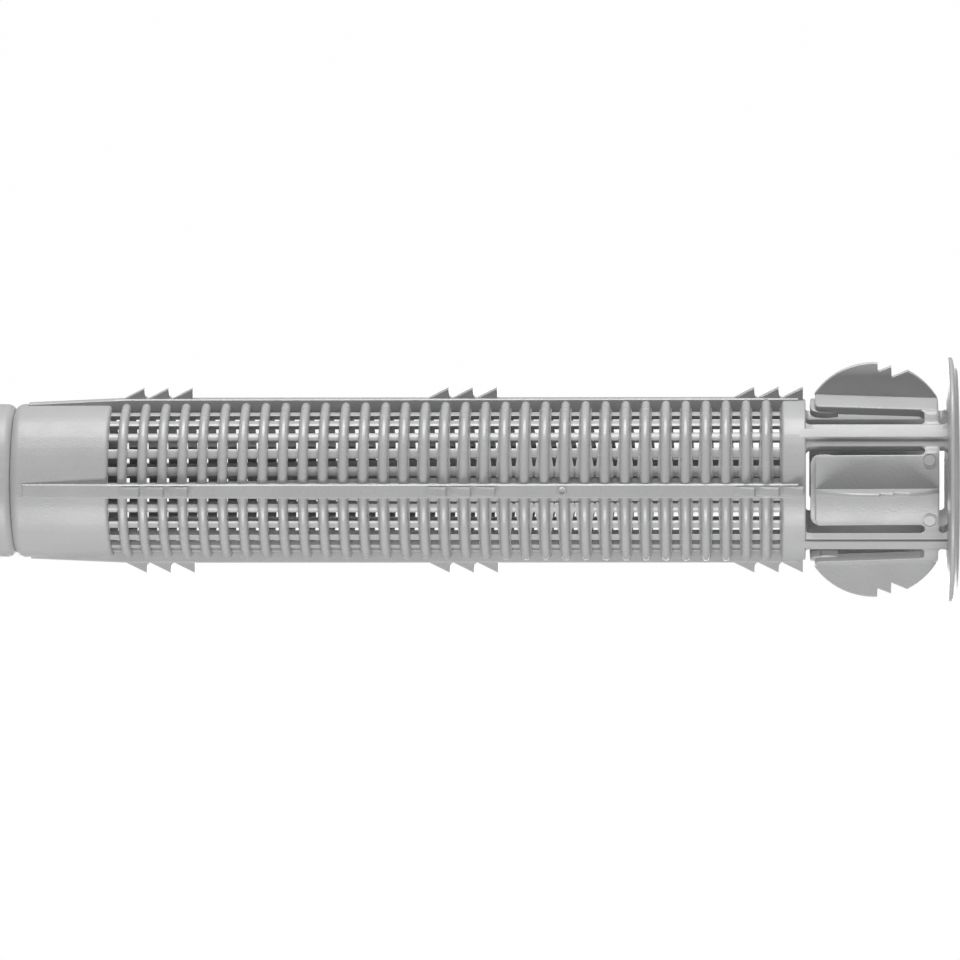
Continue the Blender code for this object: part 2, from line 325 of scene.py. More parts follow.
def ease(value, start, end):
    """Share from 0 at start to 1 at end, with soft ends."""
    share = ramp(value, start, end)
    return share * share * (3.0 - 2.0 * share)


def quarter(distance, radius):
    """Drop of a rounded edge at this distance from it."""
    inside = max(0.0, radius - distance)
    return radius - math.sqrt(max(0.0, radius * radius - inside * inside))


def offset_deg(offset, radius):
    """Angle that this sideways offset takes at this distance from the axis."""
    return math.degrees(math.asin(offset / radius))


def grid_mesh(name, counts, filled, place, closed):
    """Closed mesh of the filled cells of a grid, where place(i, j, k) gives a corner. The columns
    of a closed grid wrap round."""
    stations, columns, levels = counts
    bm = bmesh.new()
    corners = {}

    def corner(i, j, k):
        key = (i, j % columns if closed else j, k)
        if key not in corners:
            corners[key] = bm.verts.new(place(*key) * MM)
        return corners[key]

    def solid(i, j, k):
        if closed:
            j %= columns
        inside = 0 <= i < stations and 0 <= j < columns and 0 <= k < levels
        return inside and filled(i, j, k)

    for i in range(stations):
        for j in range(columns):
            for k in range(levels):
                if not solid(i, j, k):
                    continue
                for step, quad in SIDES:
                    if not solid(i + step[0], j + step[1], k + step[2]):
                        bm.faces.new([corner(i + a, j + b, k + c) for a, b, c in quad])
    return finished_mesh(bm, name)


def finished_mesh(bm, name):
    mesh = bpy.data.meshes.new(name)
    bm.to_mesh(mesh)
    bm.free()
    return mesh


def turned_mesh(name, outline, steps):
    """Closed mesh of an outline of (x, radius) points turned about the axis."""
    bm = bmesh.new()
    loops = [
        [bm.verts.new(at(x, r, 360.0 * i / steps) * MM) for x, r in outline] for i in range(steps)
    ]
    for i in range(steps):
        here, there = loops[i - 1], loops[i]
        for j in range(len(outline)):
            bm.faces.new((here[j - 1], here[j], there[j], there[j - 1]))
    bmesh.ops.remove_doubles(bm, verts=bm.verts, dist=1e-8)
    bmesh.ops.recalc_face_normals(bm, faces=bm.faces)
    return finished_mesh(bm, name)


def arc(centre_x, centre_r, radius, start, end, steps):
    """Points of an arc in the (x, radius) half-plane, from start to end in degrees from +X."""
    turns = [math.radians(lerp(start, end, i / steps)) for i in range(steps + 1)]
    return [(centre_x + radius * math.cos(t), centre_r + radius * math.sin(t)) for t in turns]


def piece(name, mesh, material):
    """Object with a material, smooth shading and normals that keep flat faces flat."""
    mesh.materials.append(material)
    mesh.shade_smooth()
    mesh.set_sharp_from_angle(angle=math.radians(SHARP_DEG))
    made = bpy.data.objects.new(name, mesh)
    bpy.context.scene.collection.objects.link(made)
    normals = made.modifiers.new("weighted_normals", "WEIGHTED_NORMAL")
    normals.keep_sharp = True
    return made


# ---------------------------------------------------------------------------------------------
# Materials


def plastic(name, grain_size, grain_depth, roughness):
    """Light grey moulded polymer. The grain is the mould's spark-eroded texture. Flow marks and
    rubbed patches change the colour and the gloss a little."""
    material = bpy.data.materials.new(name)
    material.use_nodes = True
    nodes, links = material.node_tree.nodes, material.node_tree.links
    shader = nodes["Principled BSDF"]
    shader.inputs["Metallic"].default_value = 0.0
    shader.inputs["IOR"].default_value = PLASTIC_IOR
    place = nodes.new("ShaderNodeTexCoord").outputs["Object"]

    def noise(size_mm, detail, rough):
        node = nodes.new("ShaderNodeTexNoise")
        node.inputs["Scale"].default_value = 1.0 / (size_mm * MM)
        node.inputs["Detail"].default_value = detail
        node.inputs["Roughness"].default_value = rough
        links.new(place, node.inputs["Vector"])
        return node.outputs["Fac"]

    def spread(source, low, high):
        node = nodes.new("ShaderNodeMapRange")
        node.inputs["From Min"].default_value = NOISE_RANGE[0]
        node.inputs["From Max"].default_value = NOISE_RANGE[1]
        node.inputs["To Min"].default_value = low
        node.inputs["To Max"].default_value = high
        links.new(source, node.inputs["Value"])
        return node.outputs["Result"]

    def product(a, b):
        node = nodes.new("ShaderNodeMath")
        node.operation = "MULTIPLY"
        links.new(a, node.inputs[0])
        links.new(b, node.inputs[1])
        return node.outputs["Value"]

    flow = spread(noise(*FLOW_NOISE), *FLOW_RANGE)
    speck = spread(noise(*SPECK_NOISE), *SPECK_RANGE)
    shade = nodes.new("ShaderNodeMixRGB")
    shade.blend_type = "MULTIPLY"
    shade.inputs["Fac"].default_value = 1.0
    shade.inputs["Color1"].default_value = [GREY * share for share in TINT] + [1.0]
    links.new(product(flow, speck), shade.inputs["Color2"])
    links.new(shade.outputs["Color"], shader.inputs["Base Color"])
    rubbed = spread(noise(*RUBBED_NOISE), roughness - LESS_ROUGH, roughness + MORE_ROUGH)
    links.new(rubbed, shader.inputs["Roughness"])
    grain = nodes.new("ShaderNodeBump")
    grain.inputs["Strength"].default_value = 1.0
    grain.inputs["Distance"].default_value = grain_depth * MM
    relief = noise(grain_size, GRAIN_DETAIL, GRAIN_NOISE_ROUGHNESS)
    links.new(relief, grain.inputs["Height"])
    links.new(grain.outputs["Normal"], shader.inputs["Normal"])
    return material


SCREEN = plastic("screen_polymer", grain_size=0.30, grain_depth=0.012, roughness=0.26)
NOSE = plastic("nose_polymer", grain_size=0.20, grain_depth=0.05, roughness=0.36)
BODY = plastic("body_polymer", grain_size=0.24, grain_depth=0.02, roughness=0.36)
WING = plastic("wing_polymer", grain_size=0.24, grain_depth=0.04, roughness=0.34)
COLLAR = plastic("collar_polymer", grain_size=0.26, grain_depth=0.02, roughness=0.32)


# ---------------------------------------------------------------------------------------------
# Tube: nose, screen and throat share one grid, so that their ribs and bars run on without a step


def rib_top(x):
    return lerp(RIB_START_R, RIB_R, ramp(x, RIB_START_X, RIB_FULL_X))


def bar_half(x):
    return lerp(BAR_HALF_TIP, BAR_HALF_COLLAR, ramp(x, CAGE_X, THROAT_X))


def rib_bar_half(x, angle):
    """Half width of the bar under a rib. Beside the front and rear ribs it all but closes the
    holes."""
    if angle % 180.0 == 90.0:
        return RIB_BAR_TIP
    half = lerp(RIB_BAR_TIP, RIB_BAR_MIDDLE, ease(x, *RIB_BAR_GROWTH))
    return lerp(half, RIB_BAR_COLLAR, ease(x, *RIB_BAR_SHRINKAGE))


def foot_width(x, angle):
    """Width of the fillet at a ring's foot, wider near the collar, and wider again towards the
    front and the rear, most of all halfway along."""
    beside = max(0.0, math.cos(2.0 * math.radians(angle)))
    grown = (FOOT_COLLAR + FOOT_BESIDE * beside) * ease(x, *FOOT_GROWTH)
    swell = math.exp(-((x - FOOT_SWELL_X) / FOOT_SWELL_REACH) ** 2)
    return FOOT_TIP + grown + FOOT_SWELL * beside ** 2 * swell


def tube_stations():
    """Stations of the tube, as dicts: x, outer radius r, kind of the cell that follows, foot of a
    ring as (middle, side, share), and ring whose round it is on as (middle, base)."""
    made = []

    def add(x, radius, kind, foot=None, ring=None):
        made.append({"x": x, "r": radius, "kind": kind, "foot": foot, "ring": ring})

    rise = math.degrees(math.asin(1.0 - (NOSE_R - NOSE_GROOVE_R) / NOSE_SHOULDER))
    reach = NOSE_SHOULDER * math.cos(math.radians(rise))
    shoulder = arc(NOSE_X + reach, NOSE_R - NOSE_SHOULDER, NOSE_SHOULDER, 180.0 - rise, 90.0, 7)
    for x, radius in shoulder:
        add(x, radius, "nose")
    add(RIB_START_X, NOSE_R, "nose")
    for i in range(1, NOSE_STEPS):
        add(lerp(RIB_START_X, CAGE_X - NOSE_EDGE, i / NOSE_STEPS), NOSE_R, "nose")
    for x, radius in arc(CAGE_X - NOSE_EDGE, NOSE_R - NOSE_EDGE, NOSE_EDGE, 90.0, 0.0, 5):
        add(x, radius, "nose")
    made[-1]["kind"] = "open"
    for i in range(RING_COUNT):
        share = i / (RING_COUNT - 1)
        middle = lerp(RING_FIRST_X, RING_LAST_X, share)
        base = lerp(RING_OUT_TIP, RING_OUT_COLLAR, share) - RING_HALF
        ledge = BAR_R + FOOT_LEDGE
        knee = lerp(ledge, base, FOOT_KNEE)
        add(middle, ledge, "ring", (middle, -1, 1.0))
        add(middle, knee, "ring", (middle, -1, FOOT_KNEE))
        for step in range(RING_STEPS + 1):
            turn = math.pi * (step / RING_STEPS - 0.5)
            x, radius = middle + RING_HALF * math.sin(turn), base + RING_HALF * math.cos(turn)
            add(x, radius, "ring", ring=(middle, base) if step < RING_STEPS else None)
        add(middle, knee, "ring", (middle, 1, FOOT_KNEE))
        add(middle, ledge, "open", (middle, 1, 1.0))
    add(THROAT_X - THROAT_FOOT, BAR_R + FOOT_LEDGE, "ring")
    edge = THROAT_EDGE
    for x, radius in arc(THROAT_X + edge, THROAT_R - edge, edge, 180.0, 90.0, 5):
        add(x, radius, "throat")
    add(RIB_END_X, THROAT_R, "throat")
    edge = THROAT_END_EDGE
    for x, radius in arc(STRUT_X - edge, THROAT_R - edge, edge, 90.0, 0.0, 3):
        add(x, radius, "throat")
    return made


def station_x(station, angle):
    if station["foot"] is None:
        return station["x"]
    middle, side, share = station["foot"]
    return middle + side * (RING_HALF + share * foot_width(middle, angle))


def teeth():
    """Backs of all barbs, and whether each has a hollow back, as the first two of a group do."""
    return [
        (group_x - (2 - tooth) * BARB_PITCH, tooth < 2)
        for group_x in BARB_GROUPS_X for tooth in range(3)
    ]


def tooth_outline(back_x, hollow):
    """Points (x, radius) of one barb: a ramp that rises towards the collar, and its back."""
    behind = BARB_CROWN + (BARB_HOLLOW if hollow else ())
    return [(back_x - BARB_RAMP, RIB_R + BARB_TOE)] + [(back_x + x, r) for x, r in behind]


def with_barbs(stations):
    """Add the barbs' stations, each with its two neighbours as ends. It keeps its share of the way
    between them in every column, so it never crosses a ring's foot."""
    xs = sorted(x for back in teeth() for x, _ in tooth_outline(*back))
    rows = [dict(s, x=station_x(s, 90.0), ends=None) for s in stations]
    marks = []
    for x in xs:
        after = next(i for i, row in enumerate(rows) if row["x"] > x)
        low, high = rows[after - 1], rows[after]
        share = (x - low["x"]) / (high["x"] - low["x"])
        if min(share, 1.0 - share) * (high["x"] - low["x"]) < STATION_GAP:
            continue
        radius = lerp(low["r"], high["r"], share)
        if low["ring"] is not None:
            middle, base = low["ring"]
            radius = base + math.sqrt(RING_HALF ** 2 - (x - middle) ** 2)
        ends = (low, high, share)
        marks.append({"x": x, "r": radius, "kind": low["kind"], "foot": None, "ends": ends})
    return sorted(rows + marks, key=lambda row: row["x"])


def barb_top(x):
    """Top radius of the barbs at x, or None between them."""
    for back in teeth():
        points = tooth_outline(*back)
        if points[0][0] - BARB_SLACK <= x <= points[-1][0] + BARB_SLACK:
            for (x0, r0), (x1, r1) in zip(points, points[1:]):
                if x <= x1:
                    return lerp(r0, r1, ramp(x, x0, x1))
            return points[-1][1]
    return None


BAR_MARKS, BAR_KINDS = ("bar", "bar_top"), ("bar", "bar")
RIB_MARKS = ("rib_bar", "rib", "rib_top", "barb", "barb_top")
RIB_KINDS = ("bar", "rib", "rib", "barb", "barb")


def tube_columns():
    """Boundaries of the columns, as (bar angle, mark, side, kind of the column that follows)."""
    made = []
    for index in range(BAR_COUNT):
        middle = BAR_PITCH * index
        marks, kinds = (BAR_MARKS, BAR_KINDS) if index % RIB_EVERY else (RIB_MARKS, RIB_KINDS)
        for mark, kind in zip(marks, kinds):
            made.append((middle, mark, -1, kind))
        made.append((middle, "middle", 1, kinds[-1]))
        for mark, kind in zip(reversed(marks), kinds[-2::-1] + ("gap",)):
            made.append((middle, mark, 1, kind))
        made.append((middle, "between", 1, "gap"))
    return made


def mark_offset(mark, x, angle):
    """Sideways offset of a column boundary from the middle of the bar at this angle."""
    return {
        "rib_bar": rib_bar_half(x, angle),
        "rib": RIB_HALF,
        "rib_top": RIB_HALF - RIB_CHAMFER,
        "barb": BARB_HALF,
        "barb_top": BARB_HALF - BARB_CHAMFER,
        "bar": bar_half(x),
        "bar_top": bar_half(x) - BAR_CHAMFER,
        "middle": 0.0,
    }[mark]


def make_tube():
    rows = with_barbs(tube_stations())
    columns = tube_columns()

    def edge_of(index, side, x, radius):
        mark = "rib_bar" if index % RIB_EVERY == 0 else "bar"
        middle = BAR_PITCH * index
        return middle + side * offset_deg(mark_offset(mark, x, middle), radius)

    def angle_of(j, x, radius):
        middle, mark, side, _ = columns[j]
        if mark == "between":
            index = round(middle / BAR_PITCH)
            return (edge_of(index, 1, x, radius) + edge_of(index + 1, -1, x, radius)) / 2.0
        return middle + side * offset_deg(mark_offset(mark, x, middle), radius)

    def x_of(row, j):
        middle, mark, side, _ = columns[j]
        if mark in RIB_MARKS or (mark == "middle" and middle % 90.0 == 0.0):
            return row["x"]
        angle = middle + (BAR_PITCH / 2 if mark == "between" else 0.0)
        if row["ends"] is not None:
            low, high, share = row["ends"]
            return lerp(station_x(low, angle), station_x(high, angle), share)
        return station_x(row, angle)

    def radius_of(row, j, k):
        mark = columns[j][1]
        x = row["x"]
        if k == 0:
            return BORE_R
        if k == 1:
            drop = BAR_CHAMFER if mark == "bar" else 0.0
            return min(BAR_R - drop, row["r"] - RING_LEAST)
        if k == 2:
            return row["r"]
        top = rib_top(x)
        if k == 3:
            room = 0.5 * (top - row["r"])
            return top - (min(RIB_CHAMFER, room) if mark == "rib" else 0.0)
        crown = barb_top(x) or RIB_R + BARB_TOE
        return crown - (min(BARB_CHAMFER, 0.5 * (crown - RIB_R)) if mark == "barb" else 0.0)

    def place(i, j, k):
        row = rows[i]
        radius = radius_of(row, j, k)
        x = x_of(row, j)
        return at(x, radius, angle_of(j, x, radius))

    middles = [(low["x"] + high["x"]) / 2.0 for low, high in zip(rows, rows[1:])]
    has_barb = [barb_top(x) is not None for x in middles]

    def filled(i, j, k):
        kind = rows[i]["kind"]
        column = columns[j][3]
        if k == 0:
            return kind in ("nose", "throat") or column != "gap"
        if k == 1:
            return kind != "open" or column in ("rib", "barb")
        if k == 2:
            if middles[i] > RIB_END_X:
                return column == "barb" and has_barb[i]
            return column in ("rib", "barb") and middles[i] > RIB_START_X
        return column == "barb" and has_barb[i]

    def part(name, kinds, material, slot, *nodes):
        counts = (len(rows) - 1, len(columns), 4)

        def chosen(i, j, k):
            return rows[i]["kind"] in kinds and filled(i, j, k)

        mesh = grid_mesh(name, counts, chosen, place, closed=True)
        made = piece(name, mesh, material)
        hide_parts(*nodes)
        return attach(made, "sleeve")

    part("nose_tube", ("nose",), NOSE, "nose_plastic", "nose_section")
    part(
        "screen_lattice", ("open", "ring"), SCREEN, "screen_plastic",
        "ribbed_ring_cage", "screen_bars",
    )
    part("throat_band", ("throat",), BODY, "sleeve_plastic", "throat_ring")


# ---------------------------------------------------------------------------------------------
# End cap and collar


def make_cap():
    radius = -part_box("end_cap")[0].z / MM
    inner = radius - CAP_WALL
    shoulder = NOSE_SHOULDER
    straight_x = TIP_X + radius
    rise = math.degrees(math.asin(1.0 - (radius - NOSE_GROOVE_R) / shoulder))
    reach = shoulder * math.cos(math.radians(rise))
    face_x = NOSE_X - CAP_GAP
    outline = arc(straight_x, 0.0, radius, 180.0, 90.0, 20)
    outline += arc(face_x - reach, radius - shoulder, shoulder, 90.0, rise, 8)
    outline += [(face_x, SPIGOT_R), (SPIGOT_END_X - SPIGOT_CHAMFER, SPIGOT_R)]
    outline += [(SPIGOT_END_X, SPIGOT_R - SPIGOT_CHAMFER), (SPIGOT_END_X, SPIGOT_IN_R)]
    outline += [(CAP_X - CAP_TAPER[1], SPIGOT_IN_R), (CAP_X - CAP_TAPER[0], inner)]
    outline += arc(straight_x, 0.0, inner, 90.0, 180.0, 14)
    mesh = turned_mesh("closed_tip", outline, CAP_STEPS)
    made = piece("closed_tip", mesh, NOSE)
    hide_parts("end_cap")
    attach(made, "sleeve")


def make_collar():
    outline = [(SEAT_X, BORE_R), (SEAT_X, SEAT_R)]
    outline += arc(RIM_MIDDLE_X, COLLAR_R - RIM_ROUND, RIM_ROUND, 175.0, 20.0, 8)
    outline += [LAND_EDGE]
    outline += arc(LAND_X - LAND_ROUND, LAND_R, LAND_ROUND, 60.0, 0.0, 4)
    outline += arc(LAND_X - MOUTH_ROUND, BORE_R + MOUTH_ROUND, MOUTH_ROUND, 0.0, -90.0, 4)
    mesh = turned_mesh("wall_flange", outline, COLLAR_STEPS)
    made = piece("wall_flange", mesh, COLLAR)
    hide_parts("collar_flange")
    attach(made, "sleeve")


# ---------------------------------------------------------------------------------------------
# Struts


def strut_half(x, radius):
    """Half width of a strut in degrees, with fillets into the throat and the collar."""
    near = quarter(x - STRUT_X, STRUT_FILLET) + quarter(SEAT_X - x, STRUT_FILLET)
    return STRUT_HALF_DEG + math.degrees(near / radius)


def make_strut(name, angle):
    turns = [math.radians(90.0 * i / STRUT_FILLET_STEPS) for i in range(STRUT_FILLET_STEPS + 1)]
    fillet = [STRUT_FILLET * (1.0 - math.cos(turn)) for turn in turns]
    start, end = STRUT_X + STRUT_FILLET, SEAT_X - STRUT_FILLET
    xs = [SPINE_START_X, lerp(SPINE_START_X, SPINE_FULL_X, 0.5), SPINE_FULL_X]
    xs += [STRUT_X + f for f in fillet]
    xs += [lerp(start, end, i / STRUT_STEPS) for i in range(1, STRUT_STEPS)]
    xs += [SEAT_X - f for f in fillet]
    xs = sorted(xs + [SEAT_X + SEAT_LAP])
    marks = ("side", "side_mid", "side_top", "foot", "spine", "spine_top")
    columns = [(m, -1) for m in marks] + [("middle", 1)] + [(m, 1) for m in reversed(marks)]
    kinds = ["flat", "flat", "flat", "foot", "spine", "spine"]
    kinds += list(reversed(kinds))

    def half_of(mark, x, radius):
        side = strut_half(max(x, STRUT_X), radius)
        inset = math.degrees(STRUT_EDGE / radius)
        spine = offset_deg(SPINE_HALF, radius)
        return {
            "side": side,
            "side_mid": side - STRUT_EDGE_KNEE * inset,
            "side_top": side - inset,
            "foot": spine + math.degrees(SPINE_FOOT / radius),
            "spine": spine,
            "spine_top": spine - math.degrees(SPINE_CHAMFER / radius),
            "middle": 0.0,
        }[mark]

    def place(i, j, k):
        x = xs[i]
        mark, side = columns[j]
        drop = {"side": STRUT_EDGE, "side_mid": STRUT_EDGE_KNEE * STRUT_EDGE}.get(mark, 0.0)
        spine = lerp(SPINE_START_R, SPINE_R, ramp(x, SPINE_START_X, SPINE_FULL_X))
        if k == 0:
            radius = STRUT_IN_R
        elif k == 1:
            radius = STRUT_OUT_R - drop + (SPINE_FOOT_RISE if mark == "spine" else 0.0)
        else:
            radius = spine - (SPINE_CHAMFER if mark == "spine" else 0.0)
        return at(x, radius, angle + side * half_of(mark, x, radius))

    def filled(i, j, k):
        return k == 0 or kinds[j] == "spine"

    counts = (len(xs) - 1, len(columns) - 1, 2)
    mesh = grid_mesh(name, counts, filled, place, closed=False)
    made = piece("strut_bar_" + name, mesh, BODY)
    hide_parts("strut_" + name)
    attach(made, "sleeve")


# ---------------------------------------------------------------------------------------------
# Wings, modelled at the top and then turned to their places


def splayed(point):
    """Turn a point of the wing's plate about the hinge line by the splay it is moulded with."""
    hinge = Vector((HINGE_X, 0.0, HINGE_R))
    return Matrix.Rotation(math.radians(SPLAY_DEG), 3, "Y") @ (point - hinge) + hinge


def turned_to(point, angle):
    """Turn a point at the top to the wing's place."""
    return Matrix.Rotation(math.radians(90.0 - angle), 3, "X") @ point


def fin_top(x):
    """Top radius of the half-round fin with its two steps on the collar side."""
    reach = FIN_RADIUS ** 2 - (x - FIN_X) ** 2
    outline = FIN_CENTRE_R + math.sqrt(max(0.0, reach))
    points = [FIN_TEETH[0][:2]]
    for (step_x, _, low_r), end in zip(FIN_TEETH, (FIN_TEETH[1][:2], FIN_RESUME)):
        points += [(step_x + FIN_STEP, low_r), end]
    if points[0][0] < x < points[-1][0]:
        for (x0, r0), (x1, r1) in zip(points, points[1:]):
            if x <= x1:
                return lerp(r0, r1, ramp(x, x0, x1))
    return outline


def fin_stations():
    """Stations along the fin, close together at its steep ends and at its steps."""
    xs = [FIN_X - FIN_RADIUS * math.cos(math.radians(turn)) for turn in FIN_RISE_DEG]
    for (step_x, _, _), middle_x in zip(FIN_TEETH, FIN_MIDDLES):
        xs += [step_x, step_x + FIN_STEP, middle_x]
    xs += [FIN_RESUME[0]]
    xs += [FIN_X + FIN_RADIUS * math.cos(math.radians(turn)) for turn in FIN_FALL_DEG]
    return xs


def lip_half(x):
    return lerp(LIP_HALF_DEG, LIP_FADED_DEG, ease(x, LIP_FADE_X, LIP_END_X))


def make_wing(name, angle):
    rows = [("lip", step) for step in LIP_EDGE_STEPS]
    rows += [("free", step) for step in PLATE_EDGE_STEPS]
    start, end = PLATE_FREE_X + FIN_MARGINS[0], PLATE_ROOT_X - FIN_MARGINS[1]
    inner = [x for x in fin_stations() if start < x < end]
    xs = sorted(inner + [LIP_FADE_X, LIP_END_X - LIP_STEP, LIP_END_X, WEB_X])
    rows += [("at", x) for x in xs]
    rows += [("root", step) for step in reversed(PLATE_EDGE_STEPS)]
    halves = [("fin_top", 0.0), ("fin", 0.0)]
    halves += [("share", i / PLATE_SHARES) for i in range(1, PLATE_SHARES)]
    halves += [("edge", step) for step in reversed(PLATE_EDGE_STEPS)]
    halves += [("lip", LIP_SIDE_STEP), ("lip", 0.0)]
    columns = [(m, v, -1) for m, v in reversed(halves)] + [("middle", 0.0, 1)]
    columns += [(m, v, 1) for m, v in halves]

    def half_of(mark, value, x, radius):
        fin = offset_deg(FIN_HALF, radius)
        flat = PLATE_HALF_DEG - math.degrees(PLATE_EDGE / radius)
        if mark == "middle":
            return 0.0
        if mark == "fin_top":
            return fin - math.degrees(FIN_CHAMFER / radius)
        if mark == "fin":
            return fin
        if mark == "share":
            return lerp(fin, flat, value)
        if mark == "edge":
            return PLATE_HALF_DEG - math.degrees(value / radius)
        least = LIP_OUTER_DEG if value == 0.0 else LIP_INNER_DEG
        return max(least, lip_half(x) - math.degrees(value / radius))

    def x_of(i, half):
        kind, value = rows[i]
        if kind == "lip":
            side = math.radians(LIP_HALF_DEG - half) * LIP_OUT_R
            return LIP_FREE_X + quarter(max(side, 0.0), LIP_CORNER) + value
        if kind == "free":
            side = math.radians(PLATE_HALF_DEG - half) * PLATE_OUT_R
            corner = quarter(max(side, 0.0), PLATE_CORNER)
            return PLATE_FREE_X + corner + value + LIP_SLANT * max(0.0, -side)
        if kind == "root":
            return PLATE_ROOT_X - value
        return value

    def place(i, j, k):
        kind, value = rows[i]
        mark, share, side = columns[j]
        base_r = (LIP_IN_R, PLATE_IN_R, LIP_OUT_R, PLATE_OUT_R, PLATE_OUT_R)[k]
        half = half_of(mark, share, value if kind == "at" else LIP_FREE_X, base_r)
        x = x_of(i, half)
        if k == 4:
            height = fin_top(x) - splayed(at(x, PLATE_OUT_R, 90.0)).z
            radius = fin_top(x) - (min(FIN_CHAMFER, 0.5 * height) if mark == "fin" else 0.0)
            return turned_to(at(x, radius, 90.0 + side * half_of(mark, share, x, radius)), angle)
        radius = base_r
        if k == 3:
            ends = [PLATE_EDGE]
            if mark == "edge":
                ends.append(share)
            if kind in ("free", "root"):
                ends.append(value)
            radius -= quarter(min(ends), PLATE_EDGE) if min(ends) < PLATE_EDGE else 0.0
        if k == 2:
            tip = value if kind == "lip" else 1.0
            rim = share if mark == "lip" else 1.0
            radius -= quarter(min(tip, rim), LIP_EDGE)
        return turned_to(splayed(at(x, radius, 90.0 + side * half)), angle)

    def fin_above(i):
        if "lip" in (rows[i][0], rows[i + 1][0]):
            return False
        ends = [x_of(n, 0.0) for n in (i, i + 1)]
        return all(fin_top(x) > splayed(at(x, PLATE_OUT_R, 90.0)).z + FIN_LEAST for x in ends)

    def filled(i, j, k):
        left, right = columns[j][0], columns[j + 1][0]
        on_lip = "lip" in (left, right)
        on_fin = {left, right} <= {"fin", "fin_top", "middle"}
        (here, _), (after, after_x) = rows[i], rows[i + 1]
        lip_row = here in ("lip", "free") or (here == after == "at" and after_x <= LIP_END_X)
        if k == 0:
            return lip_row
        if k == 1:
            return lip_row if on_lip else True
        if k == 2:
            return not on_lip and here != "lip"
        return on_fin and fin_above(i)

    counts = (len(rows) - 1, len(columns) - 1, 4)
    mesh = grid_mesh("wing_" + name, counts, filled, place, closed=False)
    made = piece("spring_wing_" + name, mesh, WING)
    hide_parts("wing_" + name)
    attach(made, name + "_wing")


def make_web(name, angle, side):
    """Film hinge between a wing's root and the strut beside it."""
    beside = min((side * (strut - angle)) % 360.0 for strut in STRUT_NAMES.values())
    strut_deg = beside - STRUT_HALF_DEG
    rows, columns = WEB_CELLS

    def place(i, j, k):
        share = j / columns
        half = lerp(PLATE_HALF_DEG - WEB_LAP_DEG, strut_deg + WEB_LAP_DEG, share)
        across = math.radians(half - PLATE_HALF_DEG) * PLATE_OUT_R
        width = math.radians(strut_deg - PLATE_HALF_DEG) * PLATE_OUT_R
        beside_strut = quarter(max(0.0, width - across), WEB_FILLET)
        left = WEB_X - quarter(max(0.0, across), WEB_FILLET) - beside_strut
        right = PLATE_ROOT_X + beside_strut
        x = lerp(left, right, i / rows)
        edge = min(x - left, right - x)
        near_strut = ease(share, *WEB_BEND)
        if k == 1:
            top = lerp(PLATE_OUT_R - WEB_INSET, STRUT_OUT_R + WEB_INSET, near_strut)
            radius = top - quarter(max(edge, 0.0), WEB_EDGE)
        else:
            radius = lerp(PLATE_IN_R + WEB_INSET, PLATE_IN_R - WEB_IN_DROP, near_strut)
        return turned_to(at(x, radius, 90.0 + side * half), angle)

    mesh = grid_mesh("web", (rows, columns, 1), lambda i, j, k: True, place, closed=False)
    if side < 0:
        mesh.flip_normals()
    made = piece("film_hinge_%s_%s" % (name, "a" if side > 0 else "b"), mesh, WING)
    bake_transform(made)


# ---------------------------------------------------------------------------------------------
# Moulding marks: where the plastic came in, and where pins pushed the moulding out


def make_button(name, middle, outward, outline, steps, material):
    """Small turned mark on a surface, from an outline of (radius, height) points."""
    bm = bmesh.new()
    turn = Vector((0.0, 0.0, 1.0)).rotation_difference(outward)
    loops = []
    for radius, height in outline:
        loop = []
        for i in range(steps if radius > 0.0 else 1):
            angle = 2.0 * math.pi * i / steps
            local = Vector((radius * math.cos(angle), radius * math.sin(angle), height))
            loop.append(bm.verts.new((middle + turn @ local) * MM))
        loops.append(loop)
    for inner, outer in zip(loops, loops[1:]):
        for i in range(steps):
            corners = [inner[i % len(inner)], outer[i % len(outer)], outer[(i + 1) % len(outer)]]
            if len(inner) > 1:
                corners.append(inner[(i + 1) % len(inner)])
            if len(outer) == 1:
                corners = [inner[i], outer[0], inner[(i + 1) % len(inner)]]
            bm.faces.new(corners)
    bmesh.ops.recalc_face_normals(bm, faces=bm.faces)
    return piece(name, finished_mesh(bm, name), material)


def make_gate_mark():
    middle, outward = at(GATE_X, RIB_R, 0.0), at(0.0, 1.0, 0.0)
    mark = make_button(
        "gate_mark", middle, outward, GATE_OUTLINE, GATE_STEPS, SCREEN
    )
    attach(mark, "sleeve")


def make_ejector_marks(name, angle):
    for side in (-1, 1):
        label = "ejector_mark_%s_%s" % (name, "a" if side > 0 else "b")
        half = 90.0 + side * EJECTOR_DEG
        middle = turned_to(splayed(at(EJECTOR_X, PLATE_OUT_R, half)), angle)
        outward = turned_to(at(0.0, 1.0, half), angle)
        mark = make_button(
            label, middle, outward, EJECTOR_OUTLINE, EJECTOR_STEPS, WING
        )
        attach(mark, name + "_wing")


# ---------------------------------------------------------------------------------------------
# Studio


